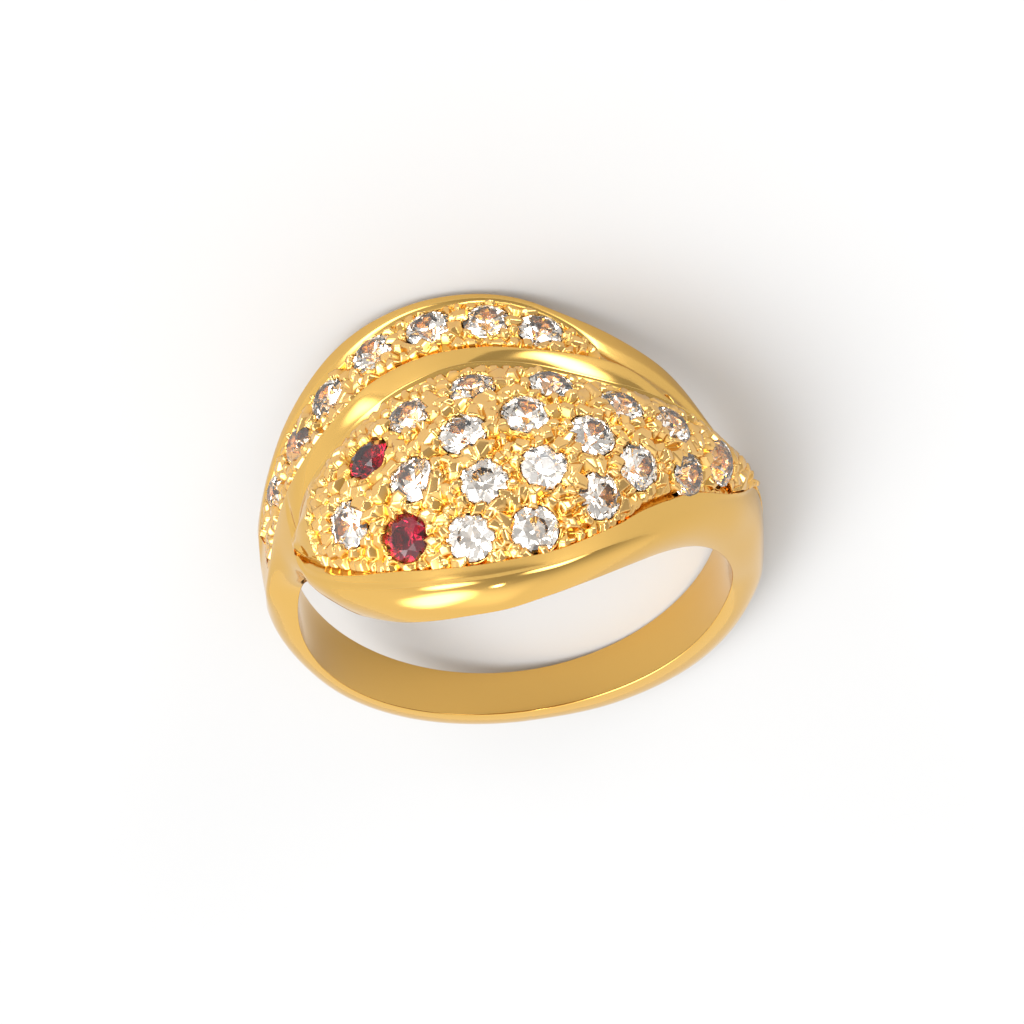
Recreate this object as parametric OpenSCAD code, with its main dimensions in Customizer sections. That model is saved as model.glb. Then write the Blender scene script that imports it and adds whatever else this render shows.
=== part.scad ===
// Snake wrap ring: a gold band whose leaf-shaped head, set with round stones, lies beside its own
// stone-set tail. The ring lies on its side on the surface z = 0, leaning on the tail's rim and
// on the bottom of the shank.
// The shapes are worked out in the upright ring: x to the right, y along the finger towards the
// tail, z up through the head, with the finger hole's axis on y. An angle is measured round
// the finger from the top of the ring, and is positive to the right. A height is measured
// outwards from the finger hole.

/* [Finger hole] */
// Inside diameter of the ring
finger_d = 17; // [16:0.1:20]

/* [Shank] */
// Width of the shank at its lowest point
shank_w = 2.1; // [1.8:0.1:3.2]
// Thickness of the shank at its lowest point
shank_t = 1.3; // [1.1:0.05:1.8]
// Widening of the shank at its sides, as a share of its width
shank_flare = 0.46; // [0:0.01:0.6]

/* [Head] */
// Reach of the head's front rim in front of the shank
head_reach = 7.75; // [7:0.05:8.6]
// Height of the head's back rim
head_h = 2.15; // [1.9:0.05:2.6]
// Rise of the stone field's dome above the line between its two edges
dome_rise = 1.25; // [0.9:0.05:1.6]
// Width of the polished bevel inside the head's front rim
bevel_w = 0.5; // [0.3:0.02:0.6]
// Width of the channel behind the stone field
channel_w = 0.28; // [0.2:0.02:0.36]
// Depth of the channel round the stone field
channel_depth = 0.22; // [0.1:0.02:0.4]

/* [Ribbon] */
// Depth of the hollow between the head's back rim and the ribbon
ribbon_dip = 0.2; // [0.05:0.01:0.3]

/* [Tail] */
// Reach of the tail's rim behind the shank
tail_reach = 5.75; // [5.4:0.05:6.4]
// Height of the tail's rim
tail_h = 1.5; // [1.4:0.05:1.9]
// Depth of the tail's stone field below its rim
tail_depth = 0.12; // [0.05:0.01:0.2]

/* [Stones] */
// Diameter of the colourless stones in the head
stone_d = 1.84; // [1.6:0.02:1.9]
// Diameter of the two red stones
eye_d = 1.84; // [1.6:0.02:1.9]
// Diameter of the colourless stones in the tail
tail_stone_d = 1.84; // [1.6:0.02:1.9]
// Depth of the red stones' girdles below the stone field
eye_sink = 0.16; // [0:0.02:0.3]
// Gap between a stone and its seat
seat_gap = 0.05; // [0.03:0.01:0.08]
// Diameter of the gold grains that hold the stones
grain_d = 0.56; // [0.4:0.02:0.66]
// Height of the grains above the stone field
grain_h = 0.16; // [0.1:0.02:0.3]

/* [Hidden] */
bore_r = finger_d / 2;

// Plan of the head: where the lines of the casting run. The first four columns after the angle
// are shares of head_reach, added to the line's place on the plain shank. The rest are heights
// as shares of head_h, and the dome's rise as a share of dome_rise.
HEAD = [
    // angle, skirt, front rim, back rim, front height, back height, dome
    [-112, 0.000, 0.000, 0.000, 0.390, 0.600, 0.00],
    [-98, 0.000, 0.000, -0.035, 0.390, 0.580, 0.00],
    [-88, 0.000, 0.008, -0.132, 0.390, 0.560, 0.00],
    [-80, 0.000, 0.019, -0.178, 0.370, 0.540, 0.00],
    [-75, 0.000, 0.027, -0.185, 0.350, 0.520, 0.00],
    [-66, 0.070, 0.078, -0.192, 0.370, 0.530, 0.00],
    [-58, 0.235, 0.117, -0.269, 0.440, 0.520, 0.00],
    [-55, 0.315, 0.143, -0.292, 0.470, 0.540, 0.00],
    [-53.5, 0.365, 0.154, -0.300, 0.740, 0.740, 0.05],
    [-52, 0.405, 0.291, -0.270, 0.740, 0.760, 0.20],
    [-49, 0.482, 0.388, -0.153, 0.720, 0.790, 0.40],
    [-45, 0.572, 0.478, -0.073, 0.695, 0.820, 0.58],
    [-38, 0.690, 0.594, -0.011, 0.630, 0.870, 0.77],
    [-28, 0.818, 0.713, 0.089, 0.580, 0.930, 0.91],
    [-16, 0.893, 0.810, 0.167, 0.555, 0.975, 0.98],
    [-4, 0.917, 0.847, 0.201, 0.535, 1.000, 1.00],
    [8, 0.863, 0.827, 0.163, 0.535, 1.000, 0.96],
    [20, 0.761, 0.721, 0.100, 0.558, 0.985, 0.86],
    [32, 0.623, 0.552, 0.069, 0.595, 0.960, 0.70],
    [44, 0.466, 0.375, 0.067, 0.640, 0.905, 0.50],
    [56, 0.326, 0.184, 0.038, 0.690, 0.850, 0.32],
    [66, 0.236, 0.040, 0.005, 0.750, 0.860, 0.16],
    [76, 0.165, -0.141, -0.030, 0.800, 0.820, 0.03],
    [86, 0.100, -0.090, -0.011, 0.700, 0.725, 0.00],
    [98, 0.030, -0.031, 0.000, 0.550, 0.670, 0.00],
    [112, 0.000, 0.000, 0.000, 0.450, 0.630, 0.00],
];
SKIRT = 1;
FRONT = 2;
BACK = 3;
FRONT_H = 4;
BACK_H = 5;
DOME = 6;

// Plan of the ribbon and the tail, in shares of tail_reach and tail_h in the same way
TAIL = [
    // angle, ridge, field edge, rim, hole edge, ridge height, rim height
    [-112, 0.000, 0.000, 0.000, 0.000, 0.820, 0.500],
    [-98, -0.044, -0.029, 0.016, 0.000, 0.810, 0.680],
    [-88, -0.181, -0.080, 0.068, 0.030, 0.830, 0.930],
    [-80, -0.249, 0.040, 0.127, 0.072, 0.830, 0.880],
    [-72, -0.249, 0.151, 0.196, 0.140, 0.870, 0.870],
    [-64, -0.113, 0.259, 0.281, 0.226, 0.930, 0.900],
    [-54, 0.007, 0.373, 0.444, 0.388, 1.030, 0.920],
    [-44, 0.104, 0.493, 0.580, 0.521, 1.100, 0.950],
    [-34, 0.221, 0.595, 0.700, 0.639, 1.150, 0.970],
    [-23, 0.357, 0.698, 0.768, 0.709, 1.210, 0.990],
    [-12, 0.397, 0.749, 0.789, 0.730, 1.240, 1.000],
    [0, 0.375, 0.741, 0.760, 0.700, 1.240, 1.000],
    [10, 0.320, 0.668, 0.690, 0.634, 1.210, 1.000],
    [20, 0.289, 0.520, 0.555, 0.502, 1.170, 0.990],
    [28, 0.276, 0.330, 0.466, 0.413, 1.140, 1.000],
    [34, 0.238, 0.262, 0.390, 0.340, 1.100, 1.010],
    [42, 0.150, 0.190, 0.304, 0.256, 1.020, 1.000],
    [50, 0.084, 0.134, 0.212, 0.166, 0.980, 0.900],
    [60, 0.050, 0.065, 0.076, 0.051, 0.970, 0.800],
    [75, 0.024, 0.023, 0.025, 0.003, 0.970, 0.680],
    [92, 0.000, 0.000, 0.000, 0.000, 0.870, 0.520],
    [112, 0.000, 0.000, 0.000, 0.000, 0.840, 0.500],
];
RIDGE = 1;
EDGE = 2;
RIM = 3;
HOLE = 4;
RIDGE_H = 5;
RIM_H = 6;

// Thickness of the plain shank, as a share of shank_t
SHANK = [
    // angle, thickness
    [-180, 1.12],
    [-155, 1.06],
    [-130, 0.91],
    [-113, 0.81],
    [-90, 0.95],
    [0, 1.00],
    [60, 1.06],
    [90, 1.18],
    [115, 1.24],
    [140, 1.34],
    [160, 1.29],
    [180, 1.12],
];
THICKNESS = 1;

// Where each line of the casting runs on the plain shank, as a share of half its width
FRONT_PLACE = -0.78;
BACK_PLACE = 0.12;
RIDGE_PLACE = 0.3;
EDGE_PLACE = 0.6;
RIM_PLACE = 0.82;

// Stones of the head. Across is a share of head_reach.
HEAD_STONES = [
    // angle, across
    [-2.8, 0.017],
    [13.1, 0.018],
    [-15.7, -0.062],
    [-5.6, -0.289],
    [6.8, -0.213],
    [27.4, -0.092],
    [39.3, -0.116],
    [19.5, -0.330],
    [29.7, -0.443],
    [44.3, -0.350],
    [54.7, -0.163],
    [-16.7, -0.463],
    [-2.9, -0.566],
    [9.3, -0.521],
    [20.9, -0.630],
    [-33.0, -0.520],
    [-7.7, -0.803],
    [6.1, -0.806],
];
EYE_STONES = [
    // angle, across
    [-25.6, -0.228],
    [-21.7, -0.707],
];
// Stones of the tail. Across is a share of tail_reach, and size is a share of tail_stone_d.
TAIL_STONES = [
    // angle, across, size
    [13.9, 0.622, 1.00],
    [2.1, 0.728, 1.00],
    [-10.9, 0.762, 1.00],
    [-24.7, 0.730, 1.00],
    [-38.2, 0.575, 1.00],
    [-49.8, 0.412, 0.97],
    [-63.0, 0.300, 0.86],
];
LAST_SIZE = 2;

// Crossing of the ring from the plain shank to the head, at its left and right
LEFT_START = -98;
LEFT_SPREAD = 20;
RIGHT_START = 104;
RIGHT_SPREAD = 22;
CROWN_POWER = 2.2;
// Ends of the tray that holds the head's stones
TRAY_LEFT = -53.6;
TRAY_RIGHT = 76.1;
// Width at which the tray is full depth, and at which its borders are full width
TRAY_DEEP = 1.5;
TRAY_WIDE = 3;
STEP_W = 0.18;
GROOVE_W = 0.12;
GROOVE_DEPTH = 0.15;
SHOULDER_W = 0.28;
CREST_W = 0.1;
// The casting is worn flat by this much at the two places where it touches the floor
WORN = 0.03;
// The casting's inner wall is cut away by the finger hole
STOCK = 0.35;
EDGE_FLAT = 0.1;

// Stone proportions, as shares of the diameter
TABLE_SHARE = 0.56;
CROWN_SHARE = 0.15;
GIRDLE_SHARE = 0.02;
PAVILION_SHARE = 0.43;
GIRDLE_SINK = 0.05;
CULET_ROOM = 0.12;
CLEAR = 0.8;
GRAINS = 3;

GOLD = [0.93, 0.73, 0.33];
CLEAR_STONE = [0.93, 0.93, 0.95];
RED_STONE = [0.55, 0.04, 0.13];

function mix(a, b, t) = a + (b - a) * t;
function smooth(x) = let (s = min(max(x, 0), 1)) s * s * (3 - 2 * s);
function unit(v) = v / norm(v);

// A smooth curve through each column of a table, which never overshoots its rows
function slope(t, i) = (t[i + 1] - t[i]) / (t[i + 1][0] - t[i][0]);
function even_slope(a, b) = a * b > 0 ? 2 * a * b / (a + b) : 0;
function slopes(t) = [
    for (i = [0:len(t) - 1])
        i == 0 || i == len(t) - 1
            ? 0 * t[0]
            : let (a = slope(t, i - 1), b = slope(t, i)) [for (c = [0:len(a) - 1]) even_slope(a[c], b[c])]
];
HEAD_SLOPES = slopes(HEAD);
TAIL_SLOPES = slopes(TAIL);
SHANK_SLOPES = slopes(SHANK);
function row_at(t, a, i = 0) = i < len(t) - 2 && t[i + 1][0] <= a ? row_at(t, a, i + 1) : i;
function at(t, m, angle) =
    let (
        a = min(max(angle, t[0][0]), t[len(t) - 1][0]),
        i = row_at(t, a),
        h = t[i + 1][0] - t[i][0],
        s = (a - t[i][0]) / h
    )
    (2 * s ^ 3 - 3 * s ^ 2 + 1) * t[i] + (s ^ 3 - 2 * s ^ 2 + s) * h * m[i]
    + (3 * s ^ 2 - 2 * s ^ 3) * t[i + 1] + (s ^ 3 - s ^ 2) * h * m[i + 1];

// Plain shank: half its width, its thickness, and its height above the finger hole
function half_width(a) = shank_w / 2 * (1 + shank_flare * (1 - (1 - min(1, 1 + cos(a))) ^ 2));
function thickness(a) = shank_t * at(SHANK, SHANK_SLOPES, a)[THICKNESS];
function crown(a, y, lines) =
    let (
        middle = (lines[Y_SKIRT] + lines[Y_HOLE]) / 2,
        half = (lines[Y_HOLE] - lines[Y_SKIRT]) / 2
    )
    thickness(a) * sqrt(max(0, 1 - (abs(y - middle) / half) ^ CROWN_POWER));

// Places of the casting's lines along the finger, from the front to the back
Y_SKIRT = 0;
Y_FRONT = 1;
Y_BACK = 2;
Y_RIDGE = 3;
Y_EDGE = 4;
Y_RIM = 5;
Y_HOLE = 6;
function places(a) =
    let (hw = half_width(a), h = at(HEAD, HEAD_SLOPES, a), t = at(TAIL, TAIL_SLOPES, a))
    [
        -hw - head_reach * h[SKIRT],
        FRONT_PLACE * hw - head_reach * h[FRONT],
        BACK_PLACE * hw + head_reach * h[BACK],
        RIDGE_PLACE * hw + tail_reach * t[RIDGE],
        EDGE_PLACE * hw + tail_reach * t[EDGE],
        RIM_PLACE * hw + tail_reach * t[RIM],
        hw + tail_reach * t[HOLE],
    ];

// Heights of the two rims of the head, the ridge and the tail's rim, and the rise of the dome
H_FRONT = 0;
H_BACK = 1;
H_RIDGE = 2;
H_RIM = 3;
RISE = 4;
function heights(a) =
    let (h = at(HEAD, HEAD_SLOPES, a), t = at(TAIL, TAIL_SLOPES, a))
    [
        head_h * h[FRONT_H],
        head_h * h[BACK_H],
        tail_h * t[RIDGE_H],
        tail_h * t[RIM_H],
        dome_rise * h[DOME],
    ];

// How much of the head's own shape there is at an angle, from 0 on the plain shank to 1
function presence(a) =
    smooth((a - LEFT_START) / LEFT_SPREAD) * smooth((RIGHT_START - a) / RIGHT_SPREAD);
function borders(y) = min(1, (y[Y_BACK] - y[Y_FRONT]) / TRAY_WIDE);
function field_front(y) = y[Y_FRONT] + (bevel_w + STEP_W) * borders(y);
function field_back(y) = y[Y_BACK] - (channel_w + CREST_W) * borders(y);

// Height of the head's stone field: a line between its two edges, with the dome on it
function head_field(y, h, place) =
    let (t = (place - field_front(y)) / (field_back(y) - field_front(y)))
    mix(h[H_FRONT], h[H_BACK], t) + h[RISE] * 4 * t * (1 - t);
function tail_field(y, h, place) =
    let (
        start = y[Y_RIDGE] + min(SHOULDER_W, (y[Y_EDGE] - y[Y_RIDGE]) / 2),
        t = (place - start) / (y[Y_EDGE] - start)
    )
    mix(h[H_RIDGE] - GROOVE_DEPTH, h[H_RIM] - tail_depth, t);

// Rows between the casting's lines. The front wall is a quarter of an ellipse, with rows at these
// angles of it. The fields have rows at these shares of their width.
WALL_TURNS = [12, 32, 55, 78];
DOME_ROWS = [0.14, 0.32, 0.5, 0.68, 0.86];
TAIL_ROWS = [0.3, 0.65];
// Drop of the head field's back edge, as a share of the channel's depth
BACK_DROP = 0.2;
// Place of the channel's floor and of the flat on the tail's rim, as shares of their widths
CHANNEL_PLACE = 0.25;
RIM_FLAT = 0.4;
// Foot of the ribbon: its rise from the head's back rim to the ridge, as a share
FOOT_RISE = 0.3;
// Shoulder of the ribbon: its place and rise on the way to the ridge, and its share of the hollow
SHOULDER_PLACE = 0.6;
SHOULDER_RISE = 0.75;
SHOULDER_DIP = 0.25;
BACK_WALL = [
    // share of the way from the rim to the finger hole, share of the rim's height
    [0.3, 0.6],
    [0.75, 0.22],
];

// Section of the casting at an angle: a place along the finger and a height for each row, from
// the front of the finger hole over the outside to its back
function own_rows(a, y, h) =
    let (
        k = borders(y),
        depth = a < TRAY_LEFT || a > TRAY_RIGHT ? 0
            : channel_depth * min(1, (y[Y_BACK] - y[Y_FRONT]) / TRAY_DEEP),
        c1 = field_front(y),
        c2 = field_back(y),
        ribbon = y[Y_RIDGE] - y[Y_BACK],
        field = y[Y_EDGE] - y[Y_RIDGE],
        dip = ribbon_dip * min(1, ribbon)
    )
    concat(
        [for (f = WALL_TURNS) [mix(y[Y_SKIRT], y[Y_FRONT], 1 - cos(f)), h[H_FRONT] * sin(f)]],
        [
            [y[Y_FRONT], h[H_FRONT]],
            [y[Y_FRONT] + CREST_W * k, h[H_FRONT]],
            [y[Y_FRONT] + bevel_w * k, h[H_FRONT] - depth],
            [c1, h[H_FRONT]],
        ],
        [for (t = DOME_ROWS) [mix(c1, c2, t), head_field(y, h, mix(c1, c2, t))]],
        [
            [c2, h[H_BACK] - BACK_DROP * depth],
            [c2 + CHANNEL_PLACE * channel_w * k, h[H_BACK] - depth],
            [y[Y_BACK] - CREST_W * k, h[H_BACK]],
            [y[Y_BACK], h[H_BACK]],
            [y[Y_BACK] + min(GROOVE_W, ribbon / 3), mix(h[H_BACK], h[H_RIDGE], FOOT_RISE) - dip],
            [
                mix(y[Y_BACK], y[Y_RIDGE], SHOULDER_PLACE),
                mix(h[H_BACK], h[H_RIDGE], SHOULDER_RISE) - SHOULDER_DIP * dip,
            ],
            [y[Y_RIDGE], h[H_RIDGE]],
            [y[Y_RIDGE] + min(GROOVE_W, field / 4), h[H_RIDGE] - GROOVE_DEPTH],
        ],
        [for (t = TAIL_ROWS) let (s = mix(y[Y_RIDGE], y[Y_EDGE], t)) [s, tail_field(y, h, s)]],
        [
            [y[Y_EDGE], h[H_RIM] - tail_depth],
            [mix(y[Y_EDGE], y[Y_RIM], RIM_FLAT), h[H_RIM]],
            [y[Y_RIM], h[H_RIM]],
        ],
        [for (w = BACK_WALL) [mix(y[Y_RIM], y[Y_HOLE], w[0]), w[1] * h[H_RIM]]]
    );
function section(a) =
    let (y = places(a), on = presence(a))
    concat(
        [[y[Y_SKIRT], -STOCK]],
        [for (p = own_rows(a, y, heights(a))) [p[0], mix(crown(a, p[0], y), p[1], on)]],
        [[y[Y_HOLE], EDGE_FLAT], [y[Y_HOLE], -STOCK]]
    );
function spot(a, y, height) = [(bore_r + height) * sin(a), y, (bore_r + height) * cos(a)];

// Angles of the sections: close together at the snout, wider over the head and the shank
function steps(from, to, count) = [for (i = [0:count - 1]) mix(from, to, i / count)];
ANGLES = concat(
    steps(-110, -59, 14),
    steps(-59, -56.5, 2),
    steps(-56.5, -55, 1),
    steps(-55, -53.5, 1),
    steps(-53.5, -44, 7),
    steps(-44, 76, 32),
    steps(76, 110, 8),
    steps(110, 250, 20)
);
SECTIONS = [for (a = ANGLES) section(a > 180 ? a - 360 : a)];
ROWS = len(SECTIONS[0]);
COLUMNS = len(ANGLES);
function spots(lowest) = [
    for (c = [0:COLUMNS - 1])
        for (p = SECTIONS[c])
            spot(ANGLES[c], p[0], max(lowest, p[1]))
];
POINTS = spots(-STOCK);
FINISHED = spots(0);
FACES = [
    for (c = [0:COLUMNS - 1])
        for (r = [0:ROWS - 1])
            let (d = (c + 1) % COLUMNS, s = (r + 1) % ROWS)
            each [
                [c * ROWS + r, c * ROWS + s, d * ROWS + s],
                [c * ROWS + r, d * ROWS + s, d * ROWS + r],
            ]
];

// Frames of the stones: the first two directions lie in the stone field, the third is its normal
TURN_STEP = 0.5;
ALONG_STEP = 0.05;
function field_spot(kind, a, y) =
    let (lines = places(a), h = heights(a))
    spot(a, y, kind == "tail" ? tail_field(lines, h, y) : head_field(lines, h, y));
function frame(kind, a, y, sink) =
    let (
        round = field_spot(kind, a + TURN_STEP, y) - field_spot(kind, a - TURN_STEP, y),
        along = field_spot(kind, a, y + ALONG_STEP) - field_spot(kind, a, y - ALONG_STEP),
        normal = unit(cross(round, along)),
        first = unit(round),
        second = cross(normal, first),
        place = field_spot(kind, a, y) - sink * normal
    )
    [for (i = [0:2]) [first[i], second[i], normal[i], place[i]]];

// Every stone: its frame and its diameter
PLACES = concat(
    [for (s = HEAD_STONES) [frame("head", s[0], s[1] * head_reach, GIRDLE_SINK), stone_d]],
    [for (s = EYE_STONES) [frame("head", s[0], s[1] * head_reach, eye_sink + GIRDLE_SINK), eye_d]],
    [
        for (s = TAIL_STONES)
            [frame("tail", s[0], s[1] * tail_reach, GIRDLE_SINK), tail_stone_d * s[LAST_SIZE]]
    ]
);
EYE_FIRST = len(HEAD_STONES);
TAIL_FIRST = EYE_FIRST + len(EYE_STONES);

// Resting: the direction of the floor is the one that brings the centre of mass lowest
TETRAHEDRA = [
    for (f = FACES)
        let (p = FINISHED[f[0]], q = FINISHED[f[1]], r = FINISHED[f[2]]) [cross(p, q) * r, (p + q + r) / 4]
];
TOUCHING_ROWS = 8;
function total(v, i = 0, sum = 0) = i == len(v) ? sum : total(v, i + 1, sum + v[i]);
MASS_CENTRE = total([for (t = TETRAHEDRA) t[0] * t[1]], sum = [0, 0, 0]) / total([for (t = TETRAHEDRA) t[0]]);
TOUCHING = [for (c = [0:COLUMNS - 1]) for (r = [ROWS - TOUCHING_ROWS:ROWS - 1]) FINISHED[c * ROWS + r]];
function down(tilt) = [sin(tilt[1]), cos(tilt[1]) * cos(tilt[0]), -cos(tilt[1]) * sin(tilt[0])];
function mass_height(tilt) = max([for (p = TOUCHING) p * down(tilt)]) - MASS_CENTRE * down(tilt);
FIRST_STEP = 4;
LAST_STEP = 0.01;
function settle(tilt, step, height) =
    step < LAST_STEP
        ? tilt
        : let (
            tries = [for (i = [0:11]) tilt + step * [cos(i * 30 + step * 97), sin(i * 30 + step * 97)]],
            found = [for (t = tries) mass_height(t)],
            lowest = min(found)
        )
        lowest < height
            ? settle(tries[search(lowest, found)[0]], step, lowest)
            : settle(tilt, step / 2, height);
START_TILT = [14, 0];
DOWN = down(settle(START_TILT, FIRST_STEP, mass_height(START_TILT)));
UP = -DOWN;
BACKWARDS = -unit([0, 0, 1] - UP[2] * UP);
SIDEWAYS = cross(BACKWARDS, UP);
REST = [SIDEWAYS, BACKWARDS, UP];
CORNERS = concat(
    FINISHED,
    [
        for (s = PLACES)
            for (i = [0:7])
                let (r = s[1] * TABLE_SHARE / 2)
                s[0] * [r * cos(45 * i), r * sin(45 * i), s[1] * CROWN_SHARE, 1]
    ]
);
RESTING = [for (p = CORNERS) REST * p];
function middle(v) = (min(v) + max(v)) / 2;
SHIFT = -[
    middle([for (p = RESTING) p[0]]),
    middle([for (p = RESTING) p[1]]),
    min([for (p = RESTING) p[2]]) + WORN,
];

module resting() {
    multmatrix([for (i = [0:2]) [REST[i][0], REST[i][1], REST[i][2], SHIFT[i]]])
        children();
}

// Round stone with a table, facets to the girdle and a pointed back. Its girdle is at height 0.
module stone(d) {
    table = [
        for (i = [0:7])
            [
                d * TABLE_SHARE / 2 * cos(45 * i + 22.5),
                d * TABLE_SHARE / 2 * sin(45 * i + 22.5),
                d * CROWN_SHARE,
            ]
    ];
    function girdle(z) = [for (i = [0:15]) [d / 2 * cos(22.5 * i), d / 2 * sin(22.5 * i), z]];
    points = concat(table, girdle(0), girdle(-d * GIRDLE_SHARE), [[0, 0, -d * PAVILION_SHARE]]);
    polyhedron(points, concat(
        [[7, 6, 5, 4, 3, 2, 1, 0]],
        [
            for (i = [0:7])
                let (g = 8 + 2 * i, next = 8 + (2 * i + 2) % 16, above = (i + 1) % 8)
                each [[i, g + 1, g], [i, next, g + 1], [i, above, next]]
        ],
        [
            for (i = [0:15])
                let (g = 8 + i, next = 8 + (i + 1) % 16)
                each [[g, next, next + 16], [g, next + 16, g + 16], [g + 16, next + 16, 40]]
        ]
    ));
}

// Room for a stone: the shape of its back and girdle with the gap, open upwards
module seat(d) {
    r = d / 2 + seat_gap;
    depth = d * PAVILION_SHARE + CULET_ROOM;
    rotate_extrude($fn = 16)
        polygon([[0, -depth], [r, -d * GIRDLE_SHARE], [r, CLEAR], [0, CLEAR]]);
}

// Gold grains round a stone
module grains(d) {
    for (i = [1:GRAINS])
        rotate(360 * i / GRAINS)
            translate([d / 2 + seat_gap + grain_d / 6, 0, -grain_d / 2])
                cylinder(h = grain_d / 2 + grain_h, d1 = grain_d, d2 = grain_d / 2, $fn = 5);
}

// Band: one casting with the grains on it, cut by the seats, the floor and the finger hole
module casting() {
    difference() {
        union() {
            polyhedron(POINTS, FACES);
            for (s = PLACES)
                multmatrix(s[0])
                    grains(s[1]);
        }
        for (s = PLACES)
            multmatrix(s[0])
                seat(s[1]);
    }
}

module band() {
    color(GOLD)
        difference() {
            resize([0, 0, 0])
                difference() {
                    resting()
                        casting();
                    translate([-2 * finger_d, -2 * finger_d, -finger_d])
                        cube([4 * finger_d, 4 * finger_d, finger_d]);
                }
            resting()
                rotate([90, 0, 0])
                    cylinder(h = 4 * head_reach, r = bore_r, center = true, $fn = 180);
        }
}

module set_stone(i) {
    color(i >= EYE_FIRST && i < TAIL_FIRST ? RED_STONE : CLEAR_STONE)
        resting()
            multmatrix(PLACES[i][0])
                stone(PLACES[i][1]);
}

band();
for (i = [0:len(PLACES) - 1])
    set_stone(i);
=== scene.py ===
"""Snake wrap ring: a polished gold casting, its two stone-set fields, and the cut stones in them.

The shapes are worked out in the upright ring, in millimetres: x to the right, y along the finger
towards the tail, z up through the head. An angle is measured round the finger from the top of
the ring, and a height outwards from the finger hole. At the end each mesh is laid on the solids.
"""

import bpy
import numpy as np
from mathutils import Matrix


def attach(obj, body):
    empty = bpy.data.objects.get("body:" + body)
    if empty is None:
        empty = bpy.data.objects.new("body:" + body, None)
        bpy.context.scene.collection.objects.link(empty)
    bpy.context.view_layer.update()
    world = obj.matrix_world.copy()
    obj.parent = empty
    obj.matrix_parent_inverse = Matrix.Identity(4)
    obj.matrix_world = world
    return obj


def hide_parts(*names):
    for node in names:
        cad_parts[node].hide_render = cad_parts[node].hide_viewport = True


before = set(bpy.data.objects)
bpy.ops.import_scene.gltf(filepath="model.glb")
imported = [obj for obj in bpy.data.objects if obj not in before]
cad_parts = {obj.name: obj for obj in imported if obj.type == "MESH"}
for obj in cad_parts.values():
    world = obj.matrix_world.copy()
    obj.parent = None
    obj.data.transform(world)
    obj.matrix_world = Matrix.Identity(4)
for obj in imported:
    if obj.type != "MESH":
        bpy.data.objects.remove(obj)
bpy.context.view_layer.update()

MM = 0.001
BODY = "root"

# Driving sizes, as in the solids
FINGER_D = 17.0
SHANK_W, SHANK_T, SHANK_FLARE = 2.1, 1.3, 0.46
HEAD_REACH, HEAD_H, DOME_RISE = 7.75, 2.15, 1.25
BEVEL_W, STEP_W, CHANNEL_W, CREST_W = 0.5, 0.18, 0.28, 0.1
TAIL_REACH, TAIL_H, TAIL_DEPTH = 5.75, 1.5, 0.12
GROOVE_W, GROOVE_DEPTH, SHOULDER_W = 0.12, 0.15, 0.28
STONE_D, EYE_D, TAIL_STONE_D = 1.84, 1.84, 1.84
EYE_SINK, GIRDLE_SINK = 0.16, 0.05
BORE_R = FINGER_D / 2

# Lines of the head, in shares of HEAD_REACH, HEAD_H and DOME_RISE
SKIRT, FRONT, BACK, FRONT_H, BACK_H, DOME = range(1, 7)
HEAD = np.array([
    # angle, skirt, front rim, back rim, front height, back height, dome
    [-112, 0.000, 0.000, 0.000, 0.390, 0.600, 0.00],
    [-98, 0.000, 0.000, -0.035, 0.390, 0.580, 0.00],
    [-88, 0.000, 0.008, -0.132, 0.390, 0.560, 0.00],
    [-80, 0.000, 0.019, -0.178, 0.370, 0.540, 0.00],
    [-75, 0.000, 0.027, -0.185, 0.350, 0.520, 0.00],
    [-66, 0.070, 0.078, -0.192, 0.370, 0.530, 0.00],
    [-58, 0.235, 0.117, -0.269, 0.440, 0.520, 0.00],
    [-55, 0.315, 0.143, -0.292, 0.470, 0.540, 0.00],
    [-53.5, 0.365, 0.154, -0.300, 0.740, 0.740, 0.05],
    [-52, 0.405, 0.291, -0.270, 0.740, 0.760, 0.20],
    [-49, 0.482, 0.388, -0.153, 0.720, 0.790, 0.40],
    [-45, 0.572, 0.478, -0.073, 0.695, 0.820, 0.58],
    [-38, 0.690, 0.594, -0.011, 0.630, 0.870, 0.77],
    [-28, 0.818, 0.713, 0.089, 0.580, 0.930, 0.91],
    [-16, 0.893, 0.810, 0.167, 0.555, 0.975, 0.98],
    [-4, 0.917, 0.847, 0.201, 0.535, 1.000, 1.00],
    [8, 0.863, 0.827, 0.163, 0.535, 1.000, 0.96],
    [20, 0.761, 0.721, 0.100, 0.558, 0.985, 0.86],
    [32, 0.623, 0.552, 0.069, 0.595, 0.960, 0.70],
    [44, 0.466, 0.375, 0.067, 0.640, 0.905, 0.50],
    [56, 0.326, 0.184, 0.038, 0.690, 0.850, 0.32],
    [66, 0.236, 0.040, 0.005, 0.750, 0.860, 0.16],
    [76, 0.165, -0.141, -0.030, 0.800, 0.820, 0.03],
    [86, 0.100, -0.090, -0.011, 0.700, 0.725, 0.00],
    [98, 0.030, -0.031, 0.000, 0.550, 0.670, 0.00],
    [112, 0.000, 0.000, 0.000, 0.450, 0.630, 0.00],
])

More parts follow.
